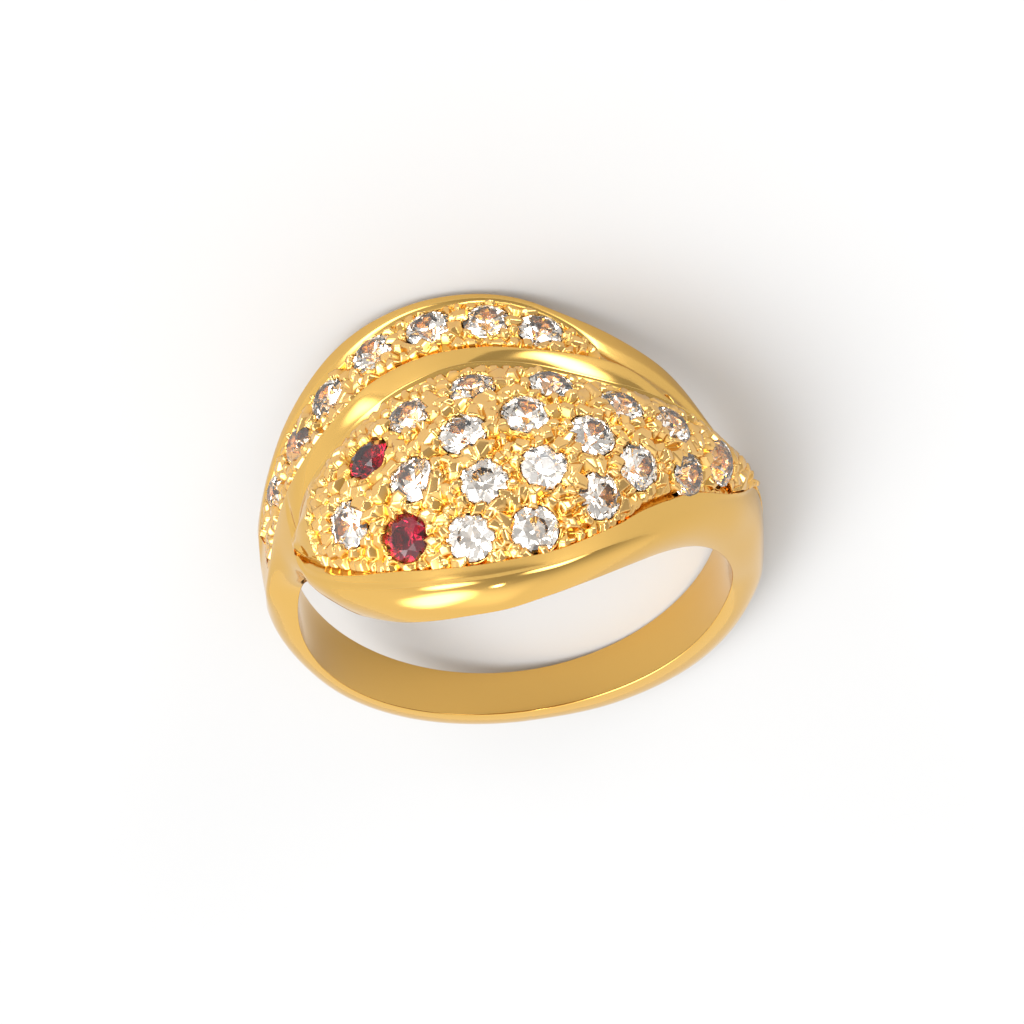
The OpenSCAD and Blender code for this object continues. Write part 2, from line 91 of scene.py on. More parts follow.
# Lines of the ribbon and the tail, in shares of TAIL_REACH and TAIL_H
RIDGE, EDGE, RIM, HOLE, RIDGE_H, RIM_H = range(1, 7)
TAIL = np.array([
    # angle, ridge, field edge, rim, hole edge, ridge height, rim height
    [-112, 0.000, 0.000, 0.000, 0.000, 0.820, 0.500],
    [-98, -0.044, -0.029, 0.016, 0.000, 0.810, 0.680],
    [-88, -0.181, -0.080, 0.068, 0.030, 0.830, 0.930],
    [-80, -0.249, 0.040, 0.127, 0.072, 0.830, 0.880],
    [-72, -0.249, 0.151, 0.196, 0.140, 0.870, 0.870],
    [-64, -0.113, 0.259, 0.281, 0.226, 0.930, 0.900],
    [-54, 0.007, 0.373, 0.444, 0.388, 1.030, 0.920],
    [-44, 0.104, 0.493, 0.580, 0.521, 1.100, 0.950],
    [-34, 0.221, 0.595, 0.700, 0.639, 1.150, 0.970],
    [-23, 0.357, 0.698, 0.768, 0.709, 1.210, 0.990],
    [-12, 0.397, 0.749, 0.789, 0.730, 1.240, 1.000],
    [0, 0.375, 0.741, 0.760, 0.700, 1.240, 1.000],
    [10, 0.320, 0.668, 0.690, 0.634, 1.210, 1.000],
    [20, 0.289, 0.520, 0.555, 0.502, 1.170, 0.990],
    [28, 0.276, 0.330, 0.466, 0.413, 1.140, 1.000],
    [34, 0.238, 0.262, 0.390, 0.340, 1.100, 1.010],
    [42, 0.150, 0.190, 0.304, 0.256, 1.020, 1.000],
    [50, 0.084, 0.134, 0.212, 0.166, 0.980, 0.900],
    [60, 0.050, 0.065, 0.076, 0.051, 0.970, 0.800],
    [75, 0.024, 0.023, 0.025, 0.003, 0.970, 0.680],
    [92, 0.000, 0.000, 0.000, 0.000, 0.870, 0.520],
    [112, 0.000, 0.000, 0.000, 0.000, 0.840, 0.500],
])

# Thickness of the plain shank, as a share of SHANK_T
THICKNESS = 1
SHANK = np.array([
    # angle, thickness
    [-180, 1.12],
    [-155, 1.06],
    [-130, 0.91],
    [-113, 0.81],
    [-90, 0.95],
    [0, 1.00],
    [60, 1.06],
    [90, 1.18],
    [115, 1.24],
    [140, 1.34],
    [160, 1.29],
    [180, 1.12],
])

# Places of the lines on the plain shank, as shares of half its width, and how full its crown is
FRONT_PLACE, BACK_PLACE, RIDGE_PLACE, EDGE_PLACE, RIM_PLACE = -0.78, 0.12, 0.3, 0.6, 0.82
CROWN_POWER = 2.2

# Angles where the head's and tail's section sets in and fades, first and last angle of the head's
# tray, and the widths from which the tray is whole and its borders are
HEAD_SETS_IN, HEAD_FADES = (-98, -78), (104, 82)
TRAY_LEFT, TRAY_RIGHT = -53.6, 76.1
TRAY_DEEP, TRAY_WIDE = 1.5, 3

# Stones: angle, and place across as a share of the reach
HEAD_STONES = [
    (-2.8, 0.017), (13.1, 0.018), (-15.7, -0.062), (-5.6, -0.289), (6.8, -0.213),
    (27.4, -0.092), (39.3, -0.116), (19.5, -0.330), (29.7, -0.443), (44.3, -0.350),
    (54.7, -0.163), (-16.7, -0.463), (-2.9, -0.566), (9.3, -0.521), (20.9, -0.630),
    (-33.0, -0.520), (-7.7, -0.803), (6.1, -0.806),
]
EYE_STONES = [(-25.6, -0.228), (-21.7, -0.707)]
TAIL_STONES = [
    (13.9, 0.622), (2.1, 0.728), (-10.9, 0.762), (-24.7, 0.730), (-38.2, 0.575),
    (-49.8, 0.412), (-63.0, 0.300),
]
TAIL_SIZES = [1, 1, 1, 1, 1, 0.97, 0.86]


# Curves and lines

def smooth(x):
    """0 below 0, 1 above 1, and between them 3x squared minus 2x cubed."""
    s = np.clip(x, 0, 1)
    return s * s * (3 - 2 * s)


def between(x, stretch):
    """0 before a stretch, 1 past it and smooth along it. The stretch is given as its first and
    last value, and may run down."""
    first, last = stretch
    return smooth((x - first) / (last - first))


def mix(a, b, t):
    """The point at share t of the way from a to b."""
    return a + (b - a) * t


def curve(table, column, angle):
    """A smooth curve through a column: a cubic between rows, whose slope at a row is the harmonic
    mean of the slopes on its two sides, or 0 where they differ in sign, so that it never
    overshoots."""
    knots, values = table[:, 0], table[:, column]
    angle = np.clip(angle, knots[0], knots[-1])
    rise = np.diff(values) / np.diff(knots)
    before, after = rise[:-1], rise[1:]
    same = before * after > 0
    slope = np.zeros(len(knots))
    slope[1:-1][same] = (2 * before * after)[same] / (before + after)[same]
    i = np.clip(np.searchsorted(knots, angle, side="right") - 1, 0, len(knots) - 2)
    width = knots[i + 1] - knots[i]
    s = (angle - knots[i]) / width
    return (
        (2 * s**3 - 3 * s**2 + 1) * values[i] + (s**3 - 2 * s**2 + s) * width * slope[i]
        + (3 * s**2 - 2 * s**3) * values[i + 1] + (s**3 - s**2) * width * slope[i + 1]
    )


# The snout's end, how far on both sides a line is softened, and where that starts and is whole
SNOUT_END = -54.0
SPREAD = 5.0
SPREAD_WEIGHTS = [(-1, 1), (-0.67, 2), (-0.33, 3), (0, 4), (0.33, 3), (0.67, 2), (1, 1)]
SOFT_FROM = (3, 15)


def softened(table, column, angle):
    """The curve's mean over a few degrees on both sides of each angle, with weights that fall off
    evenly. Beside the snout's end it is the curve itself."""
    spread = SPREAD * between(np.abs(angle - SNOUT_END), SOFT_FROM)
    parts = [w * curve(table, column, angle + o * spread) for o, w in SPREAD_WEIGHTS]
    return sum(parts) / sum(w for _, w in SPREAD_WEIGHTS)


class Lines:
    """The casting's lines at the given angles: places along the finger, and heights. across is the
    function that reads them from the tables."""

    def __init__(self, angle, across=curve):
        self.angle = angle = np.asarray(angle, float)
        side = np.minimum(1, 1 + np.cos(np.radians(angle)))
        half = SHANK_W / 2 * (1 + SHANK_FLARE * (1 - (1 - side) ** 2))
        self.skirt = -half - HEAD_REACH * across(HEAD, SKIRT, angle)
        self.front = FRONT_PLACE * half - HEAD_REACH * across(HEAD, FRONT, angle)
        self.back = BACK_PLACE * half + HEAD_REACH * across(HEAD, BACK, angle)
        self.ridge = RIDGE_PLACE * half + TAIL_REACH * across(TAIL, RIDGE, angle)
        self.edge = EDGE_PLACE * half + TAIL_REACH * across(TAIL, EDGE, angle)
        self.rim = RIM_PLACE * half + TAIL_REACH * across(TAIL, RIM, angle)
        self.hole = half + TAIL_REACH * across(TAIL, HOLE, angle)
        self.front_h = HEAD_H * across(HEAD, FRONT_H, angle)
        self.back_h = HEAD_H * across(HEAD, BACK_H, angle)
        self.ridge_h = TAIL_H * across(TAIL, RIDGE_H, angle)
        self.rim_h = TAIL_H * across(TAIL, RIM_H, angle)
        self.rise = DOME_RISE * across(HEAD, DOME, angle)
        self.presence = between(angle, HEAD_SETS_IN) * between(angle, HEAD_FADES)
        self.span = self.back - self.front
        self.border = np.minimum(1, self.span / TRAY_WIDE)
        in_tray = (angle > TRAY_LEFT) & (angle < TRAY_RIGHT)
        self.open = np.where(in_tray, np.clip(self.span / TRAY_DEEP, 0, 1), 0)

    def crown(self, y):
        """Height of the plain shank: its thickness, falling to 0 at both sides as a flattened
        ellipse does."""
        middle, half = (self.skirt + self.hole) / 2, (self.hole - self.skirt) / 2
        fall = np.maximum(0, 1 - np.abs((y - middle) / half) ** CROWN_POWER)
        return SHANK_T * curve(SHANK, THICKNESS, self.angle) * np.sqrt(fall)

    def head_field(self, y):
        """Height of the head's stone field: a line between its two edges, with a parabola on it."""
        start = self.front + (BEVEL_W + STEP_W) * self.border
        end = self.back - (CHANNEL_W + CREST_W) * self.border
        t = (y - start) / (end - start)
        return mix(self.front_h, self.back_h, t) + self.rise * 4 * t * (1 - t)

    def tail_field(self, y):
        """Height of the tail's stone field: a line from the ridge's foot to the rim's foot."""
        start = self.ridge + np.minimum(SHOULDER_W, (self.edge - self.ridge) / 2)
        t = (y - start) / (self.edge - start)
        return mix(self.ridge_h - GROOVE_DEPTH, self.rim_h - TAIL_DEPTH, t)


def spot(angle, y, height):
    """The point at an angle, a place along the finger and a height."""
    angle, y, height = np.broadcast_arrays(np.radians(angle), y, height)
    reach = BORE_R + height
    return np.stack([reach * np.sin(angle), y, reach * np.cos(angle)], -1)


def unit(v):
    """v at length 1."""
    return v / np.linalg.norm(v, axis=-1, keepdims=True)


# Places of the stones

class Seat:
    """Place of a stone: its middle, its normal, two directions in its field, and its size."""

    def __init__(self, field, angle, y, diameter, sink):
        def at(a, b):
            lines = Lines(a)
            height = lines.tail_field(b) if field == "tail" else lines.head_field(b)
            return spot(a, b, height)

        round_ = at(angle + 0.5, y) - at(angle - 0.5, y)
        along = at(angle, y + 0.05) - at(angle, y - 0.05)
        self.normal = unit(np.cross(round_, along))
        self.first = unit(round_)
        self.second = np.cross(self.normal, self.first)
        self.surface = at(angle, y)
        self.sink = sink
        self.middle = self.surface - sink * self.normal
        self.diameter = diameter

    def place(self, points):
        """Points given as first, second and normal shares, put at the seat."""
        return self.middle + points @ np.stack([self.first, self.second, self.normal])


head_seats = [Seat("head", a, s * HEAD_REACH, STONE_D, GIRDLE_SINK) for a, s in HEAD_STONES]
eye_seats = [Seat("head", a, s * HEAD_REACH, EYE_D, EYE_SINK + GIRDLE_SINK) for a, s in EYE_STONES]
tail_seats = [
    Seat("tail", a, s * TAIL_REACH, TAIL_STONE_D * size, GIRDLE_SINK)
    for (a, s), size in zip(TAIL_STONES, TAIL_SIZES)
]
head_names = [f"head_stone_{i + 1:02d}" for i in range(len(head_seats))]
eye_names = [f"eye_stone_{i + 1}" for i in range(len(eye_seats))]
tail_names = [f"tail_stone_{i + 1}" for i in range(len(tail_seats))]
all_seats = head_seats + eye_seats + tail_seats
all_names = head_names + eye_names + tail_names

# The stones of the solids have 8 corners at the table, 16 at each edge of the girdle and 1 point
CROWN_SHARE, GIRDLE_SHARE, PAVILION_SHARE = 0.15, 0.02, 0.43
CORNER_MEAN = (8 * CROWN_SHARE - 16 * GIRDLE_SHARE - PAVILION_SHARE) / 41


def corner_mean(node):
    """Mean of a node's different corners, in metres."""
    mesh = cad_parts[node].data
    points = np.empty(len(mesh.vertices) * 3)
    mesh.vertices.foreach_get("co", points)
    return np.unique(points.reshape(-1, 3).round(7), axis=0).mean(0)


def rest_of_ring():
    """Turn and shift that lay the ring's stones on the solids' stones: the turn from the singular
    value decomposition of the two sets of middles, the shift from their means."""
    ring = np.array([s.middle + CORNER_MEAN * s.diameter * s.normal for s in all_seats]) * MM
    world = np.array([corner_mean(n) for n in all_names])
    u, _, v = np.linalg.svd((ring - ring.mean(0)).T @ (world - world.mean(0)))
    flip = np.diag([1, 1, np.sign(np.linalg.det(u @ v))])
    turn = (u @ flip @ v).T
    shift = world.mean(0) - turn @ ring.mean(0)
    print("stones lie off the solids by", np.abs(ring @ turn.T + shift - world).max())
    return turn, shift


TURN, SHIFT = rest_of_ring()


def to_world(points):
    """Points of the upright ring in millimetres, in the row's frame in metres."""
    return points * MM @ TURN.T + SHIFT


# Meshes

def add_mesh(name, points, faces, values=None):
    """A smooth mesh object from points of the upright ring, worn flat where they reach the floor.
    values is one number per point, kept as the attribute relief."""
    mesh = bpy.data.meshes.new(name)
    faces = np.asarray(faces, np.int32)
    points = to_world(np.asarray(points).reshape(-1, 3)).astype(np.float32)
    points[:, 2] = np.maximum(points[:, 2], 0)
    corners = faces.shape[1]
    mesh.vertices.add(len(points))
    mesh.vertices.foreach_set("co", points.ravel())
    mesh.loops.add(faces.size)
    mesh.loops.foreach_set("vertex_index", faces.ravel())
    mesh.polygons.add(len(faces))
    mesh.polygons.foreach_set("loop_start", np.arange(0, faces.size, corners, dtype=np.int32))
    mesh.update(calc_edges=True)
    mesh.polygons.foreach_set("use_smooth", np.ones(len(faces), bool))
    if values is not None:
        relief = mesh.attributes.new("relief", "FLOAT", "POINT")
        relief.data.foreach_set("value", np.asarray(values, np.float32).ravel())
    mesh.validate()
    piece = bpy.data.objects.new(name, mesh)
    bpy.context.collection.objects.link(piece)
    return piece


def tube_faces(columns, rows, ring):
    """Quads of a grid of columns by rows. Each column is a closed loop of rows, and the columns
    close into a ring, or else the first and the last are joined up across their loops."""
    row = np.arange(rows)
    next_row = (row + 1) % rows
    column = np.arange(columns if ring else columns - 1)[:, None]
    here, there = column * rows, (column + 1) % columns * rows
    sides = np.stack([here + row, there + row, there + next_row, here + next_row], -1)
    sides = sides.reshape(-1, 4)
    if ring:
        return sides
    half = np.arange((rows - 1) // 2)
    cap = np.stack([half, half + 1, rows - 2 - half, rows - 1 - half], -1)
    last = (columns - 1) * rows
    return np.concatenate([sides, cap, cap[:, ::-1] + last])


def rounded(path, radii, steps):
    """A path of points with its corners rounded: each corner gives way to a parabola that starts
    and ends on its two sides, its radius away or at the middle of the side. The path is closed.
    path is columns x corners x 2, radii is columns x corners, steps is the points at a corner."""
    before = np.roll(path, 1, 1) - path
    after = np.roll(path, -1, 1) - path
    pieces = []
    for i, count in enumerate(steps):
        sides = []
        for side in (before[:, i], after[:, i]):
            length = np.linalg.norm(side, axis=-1, keepdims=True) + 1e-9
            sides.append(path[:, i] + side * np.minimum(radii[:, i, None] / length, 0.499))
        t = np.linspace(0, 1, count)[None, :, None]
        corner = path[:, i, None]
        start, end = sides[0][:, None], sides[1][:, None]
        pieces.append((1 - t) ** 2 * start + 2 * t * (1 - t) * corner + t**2 * end)
    return np.concatenate(pieces, 1)


# The casting

# Radii of its corners, in millimetres. SOFT is more than any side, and turns a corner into a curve
CREST_R, BEVEL_R, FOOT_R, RECESS_R, BACK_RIM_R = 0.07, 0.06, 0.05, 0.1, 0.04
RIDGE_R, GROOVE_R, RIM_START_R, RIM_R, LIP_R = 0.09, 0.04, 0.08, 0.12, 0.08
SOFT = 9

# Front of the casting from the finger hole to the rim, a quarter turn taken in steps
WALL_TURNS = (15, 33, 50, 66, 80)

# Bevel, its two slots and the step behind it, in millimetres. The slot lies beside the snout and
# the lens towards the point, each with the angles where it opens and where it closes, and a share
# by which the bevel is wider or narrower beside it
BEVEL_RISE = 0.12
SLOT_W, LENS_W, STEP_BACK, STEP_LEAN = 0.34, 0.22, 0.05, 0.02
SLOT_DROP, STEP_DROP = 0.06, 0.06
SLOT_OPENS, SLOT_CLOSES = (-52.5, -49.5), (-23, -43)
LENS_OPENS, LENS_CLOSES = (25, 34), (51, 43)
POINT_NARROWS = (46, 60)
BESIDE_LENS, BESIDE_SLOT, AT_POINT = 0.2, -0.6, -0.75

# Most that the bevel, a slot and the back rim take of the room between the rims, and the least
# width of the field
BEVEL_MOST, SLOT_MOST, RIM_MOST = 0.3, 0.15, 0.4
LEAST_FIELD_W = 0.06

# Pocket under a field, with its depth, its walls' lean and the widths of field where it opens
SEAT_ROOM, POCKET_LEAN = 0.95, 0.05
POCKET_OPENS = (0.1, 0.5)

# Angles over which a plain oval turns into the snout's section and the head's corners soften at its
# point, and over which the pocket under the tail's field opens and closes
SNOUT_TURNS, HEAD_CLOSES = (SNOUT_END - 2, SNOUT_END + 0.5), (78, 75)
TAIL_OPENS, TAIL_CLOSES = (-74.3, -71.3), (27, 24)

# Recess behind the field's edge: its depth, and its shape as shares of the way to the back rim
# and of that depth. The rim's inner edge is given as a share of CREST_W
RECESS_DROP = 0.13
RECESS_SHAPE = [(0.0, 1.0), (0.25, 1.0), (0.5, 0.9), (0.8, 0.5)]
RIM_INSIDE, RIM_DIP = 0.6, 0.02

# Ribbon's hollow side, from just behind the rim up to the ridge: how far behind the rim its foot
# is and how high, as a share of the rise from the rim, and points on the way as shares of the
# width and the height
FOOT_OUT, FOOT_SHARE = 0.1, 0.15
RIBBON_SHAPE = [(0.4, 0.5), (0.75, 0.85)]

# The tail's bed as shares of its width, where the rim's round begins, and the outer wall from the
# rim to the finger hole as shares of its width and height
BED_FRONT, BED_BACK, RIM_STARTS = 0.2, 0.85, 0.35
OUTER_WALL = [(0.3, 0.6), (0.8, 0.25)]

# The snout's raised lip, and the dark pit at the ribbon's end
SNOUT_LIP, LIP_BEHIND, LIP_SPREAD = 0.1, 1.9, 1.0
PIT_ANGLE, PIT_SPREAD, PIT_W, PIT_DEPTH = 44.6, 1.4, 0.3, 0.7

# Back edge of the head's field beside the snout, where it leaves a wide smooth recess
PLACE = 1
RECESS = np.array([
    # angle, place along the finger
    [-46.3, -9],
    [-44.4, -4.5],
    [-44.1, -4.1],
    [-43.4, -3.3],
    [-42.6, -2.75],
    [-41.4, -2.2],
    [-39.5, -1.42],
    [-37.6, -0.8],
    [-35.5, -0.45],
    [-32, -0.2],
    [-27, 0.2],
    [-22, 0.8],
    [-18, 9],
])

# Section of the ribbon: how deep its foot lies behind the head's rim, and how far its ridge is
# raised, in millimetres
FOOT, LIFT = 1, 2
RIBBON = np.array([
    # angle, foot, lift
    [-60, 0.10, 0.00],
    [-50, 0.45, 0.06],
    [-40, 0.66, 0.12],
    [-30, 0.60, 0.10],
    [-20, 0.38, 0.00],
    [-8, 0.32, 0.00],
    [2, 0.46, 0.05],
    [14, 0.66, 0.12],
    [32, 0.68, 0.14],
    [42, 0.44, 0.06],
    [52, 0.10, 0.00],
])


# Height at which a line's slant is taken, and the most that it counts
SLANT_H, SLANT_MOST = 1.6, 1.6


def slant(place, lines):
    """How much longer than its width a border is along the finger, where its line runs askew."""
    run = np.gradient(place) / np.gradient(np.radians(lines.angle) * (BORE_R + SLANT_H))
    return np.minimum(np.sqrt(1 + run**2), SLANT_MOST)


class HeadEdges:
    """Places of the bevel's foot and of the head field's two edges. Two slots open between them:
    one beside the snout, which closes towards the middle, and a short one towards the point."""

    def __init__(self, lines):
        angle = lines.angle
        slot = between(angle, SLOT_CLOSES) * between(angle, SLOT_OPENS)
        lens = between(angle, LENS_OPENS) * between(angle, LENS_CLOSES)
        point = between(angle, POINT_NARROWS)
        bevel_w = BEVEL_W * (1 + BESIDE_LENS * lens + BESIDE_SLOT * slot) * (1 + AT_POINT * point)
        slot_w = STEP_BACK + SLOT_W * slot + LENS_W * lens
        room = np.maximum(lines.span, 0)
        self.drop = STEP_DROP + SLOT_DROP * slot
        askew = slant(lines.front, lines)
        self.bevel = lines.front + np.minimum(bevel_w * askew, BEVEL_MOST * room)
        self.start = self.bevel + np.minimum(slot_w * askew, SLOT_MOST * room)
        rim_w = (CHANNEL_W + CREST_W) * slant(lines.back, lines)
        rim_foot = lines.back - np.minimum(rim_w, RIM_MOST * room)
        self.end = np.minimum(rim_foot, curve(RECESS, PLACE, angle))
        self.end = np.maximum(self.end, self.start + LEAST_FIELD_W)


def front_corners(lines):
    """Corners of the section from the hole's front edge to the ribbon, as (place, height, radius,
    steps). Left of the snout they lie on a smooth quarter of an oval up to the ridge."""
    own = lines.presence
    snout = between(lines.angle, SNOUT_TURNS)
    head = own * snout * between(lines.angle, HEAD_CLOSES)
    edges = HeadEdges(lines)
    deep = lines.open
    below = SEAT_ROOM * deep * between(edges.end - edges.start, POCKET_OPENS)
    step = edges.start + STEP_LEAN
    rim_inside = lines.back - RIM_INSIDE * CREST_W
    lip = SNOUT_LIP * np.exp(-((lines.angle - SNOUT_END - LIP_BEHIND) / LIP_SPREAD) ** 2)
    foot = curve(RIBBON, FOOT, lines.angle) * own
    top = lines.ridge_h + curve(RIBBON, LIFT, lines.angle) * own
    floor_h = mix(lines.back_h, top, FOOT_SHARE) - foot

    def sharp(radius):
        return mix(SOFT, radius, head)

    corners = []
    for turn in np.radians(WALL_TURNS):
        place = mix(lines.skirt, lines.front, 1 - np.cos(turn))
        corners.append((place, lines.front_h * np.sin(turn), SOFT, 5))
    corners += [
        (lines.front, lines.front_h + lip, sharp(CREST_R), 7),
        (edges.bevel, lines.front_h + BEVEL_RISE * deep + lip, sharp(BEVEL_R), 5),
        (step, lines.front_h - edges.drop * deep + lip, sharp(FOOT_R), 4),
        (step + POCKET_LEAN, lines.head_field(edges.start) - below, sharp(FOOT_R), 3),
        (edges.end - POCKET_LEAN, lines.head_field(edges.end) - below, sharp(FOOT_R), 3),
    ]
    for share, drop in RECESS_SHAPE:
        place = mix(edges.end, rim_inside, share)
        height = lines.head_field(np.minimum(place, lines.back - CHANNEL_W - CREST_W))
        corners.append((place, height - drop * RECESS_DROP * deep + lip, sharp(RECESS_R), 4))
    corners += [
        (rim_inside, lines.back_h - RIM_DIP + lip, sharp(FOOT_R), 3),
        (lines.back, lines.back_h + lip, sharp(BACK_RIM_R), 5),
        (lines.back + FOOT_OUT, floor_h, sharp(RECESS_R), 5),
    ]
    for across, up in RIBBON_SHAPE:
        corners.append((mix(lines.back, lines.ridge, across), mix(floor_h, top, up), SOFT, 6))
    laid = []
    for i, (place, height, radius, steps) in enumerate(corners):
        turn = np.radians(90 * (i + 1) / (len(corners) + 1))
        oval_place = mix(lines.skirt, lines.ridge, 1 - np.cos(turn))
        oval_height = lines.ridge_h * np.sqrt(1 - np.cos(turn) ** CROWN_POWER)
        laid.append((mix(oval_place, place, snout), mix(oval_height, height, snout), radius, steps))
    return laid


def back_corners(lines):
    """Corners of the section from the ridge to the hole's back edge, given in the same way."""
    own, angle = lines.presence, lines.angle
    field = lines.edge - lines.ridge
    top = lines.ridge_h + curve(RIBBON, LIFT, angle) * own
    pit = np.exp(-((angle - PIT_ANGLE) / PIT_SPREAD) ** 2)
    groove = lines.ridge + np.minimum(GROOVE_W, field / 4) + PIT_W * pit
    tail_open = between(angle, TAIL_OPENS) * between(angle, TAIL_CLOSES)
    below = GROOVE_DEPTH + tail_open * (SEAT_ROOM - GROOVE_DEPTH)

    def sharp(radius):
        return mix(SOFT, radius, own)

    corners = [
        (lines.ridge, top, sharp(RIDGE_R), 6),
        (groove, lines.ridge_h - GROOVE_DEPTH - PIT_DEPTH * pit, sharp(GROOVE_R), 4),
        (mix(groove, lines.edge, BED_FRONT), lines.ridge_h - below, sharp(FOOT_R), 3),
        (mix(lines.ridge, lines.edge, BED_BACK), lines.rim_h - below, sharp(FOOT_R), 3),
        (lines.edge, lines.rim_h - TAIL_DEPTH, sharp(FOOT_R), 3),
        (mix(lines.edge, lines.rim, RIM_STARTS), lines.rim_h, sharp(RIM_START_R), 4),
        (lines.rim, lines.rim_h, sharp(RIM_R), 6),
    ]
    for across, up in OUTER_WALL:
        corners.append((mix(lines.rim, lines.hole, across), up * lines.rim_h, SOFT, 5))
    return corners


def casting_section(lines):
    """Points of the casting's section at each angle, from the middle of the finger hole's wall
    round the front, over the outside and back. Away from the head the outside is the plain
    shank's."""
    shape = lines.angle.shape
    inside = [(mix(lines.skirt, lines.hole, 0.5), 0, SOFT, 3), (lines.skirt, 0, LIP_R, 6)]
    outside = front_corners(lines) + back_corners(lines)
    path, radii, steps = [], [], []
    whole = inside + outside + [(lines.hole, 0, LIP_R, 6)]
    for i, (place, height, radius, count) in enumerate(whole):
        height = np.broadcast_to(height, shape)
        if 1 < i <= len(outside) + 1:
            height = mix(lines.crown(place), height, lines.presence)
        path.append(np.stack([place, height], -1))
        radii.append(np.broadcast_to(radius, shape))
        steps.append(count)
    return rounded(np.stack(path, 1), np.stack(radii, 1), steps)


# First and last angle of each stretch of the casting and its number of sections, which lie closest
# together at the snout
STRETCHES = [(-98, -60, 76), (-60, -44, 90), (-44, 76, 310), (76, 104, 44), (104, 262, 140)]
CASTING_ANGLES = np.concatenate([np.linspace(*part, endpoint=False) for part in STRETCHES])


def build_casting():
    """The polished casting: its section carried round the finger."""
    angles = np.where(CASTING_ANGLES > 180, CASTING_ANGLES - 360, CASTING_ANGLES)
    order = np.argsort(angles)
    section = casting_section(Lines(angles[order], softened))[np.argsort(order)]
    points = spot(CASTING_ANGLES[:, None], section[..., 0], section[..., 1])
    return add_mesh("casting", points, tube_faces(len(angles), section.shape[1], True))


# Stone fields

# Relief over a field's base, in millimetres: the valleys, and the notched collar round a stone with
# its distance and width. A seat lies SEAT_GAP below its stone and reaches SEAT_EDGE past it, and
# further by a share of a deep stone's sink. Its cone is steeper than the stone's, and it holds where
# the field is within SEAT_REACH of the stone's own level. A drilled bead and its hole are flat in
# the inner part of their radius and slope over the rest
VALLEY = -0.11
COLLAR_H, NOTCH_H, NOTCHES = 0.14, 0.07, 7
COLLAR_OUT, COLLAR_W = 0.07, 0.06
SEAT_GAP, SEAT_EDGE, SEAT_OPENING = 0.06, 0.012, 0.2
SEAT_STEEPER = 0.01
SEAT_REACH = 0.9
BEAD_H, FLAT_PART = 0.16, 0.6

# A cut grain: how steeply its flats fall, the height of the flat on top as a share and how much it
# slants, its number of sides, 4 to 6, the least and most of their distance and of how far it is
# drawn out, and by what share of a side each is turned. GRAIN_SPAN is how far it can reach, in
# shares of its size, and where it stands higher than LAP_H over a seat it laps the stone
FLAT_FALL, TOP_H, TOP_SLANT = 1.9, 0.85, 0.22
SIDES, SIDE_REACH, DRAWN_OUT, SIDE_TURN = (4, 7), (0.65, 1.1), (1, 1.5), 0.3
GRAIN_SPAN, LAP_H = 1.7, 0.03

# Least and most share of the size and height asked for: of claws and grains at an edge, and of the
# grains between. A claw strays from its turn by a share of the step to the next, and a grain at an
# edge by millimetres. A claw is left out where it would lap another stone by more than CLAW_LAP, and
# a grain nearer to a seat than GRAIN_ROOM. SIDE_DEPTH is the depth of a plate's two sides
SET_SIZE, SET_HEIGHT = (0.8, 1.3), (0.8, 1.2)
FREE_SIZE, FREE_HEIGHT = (0.8, 1.35), (0.6, 1.3)
CLAW_STRAY, EDGE_STRAY = 0.25, 0.12
CLAW_LAP, GRAIN_ROOM = 0.05, 0.03
SIDE_DEPTH = 0.4
random = np.random.default_rng(7)


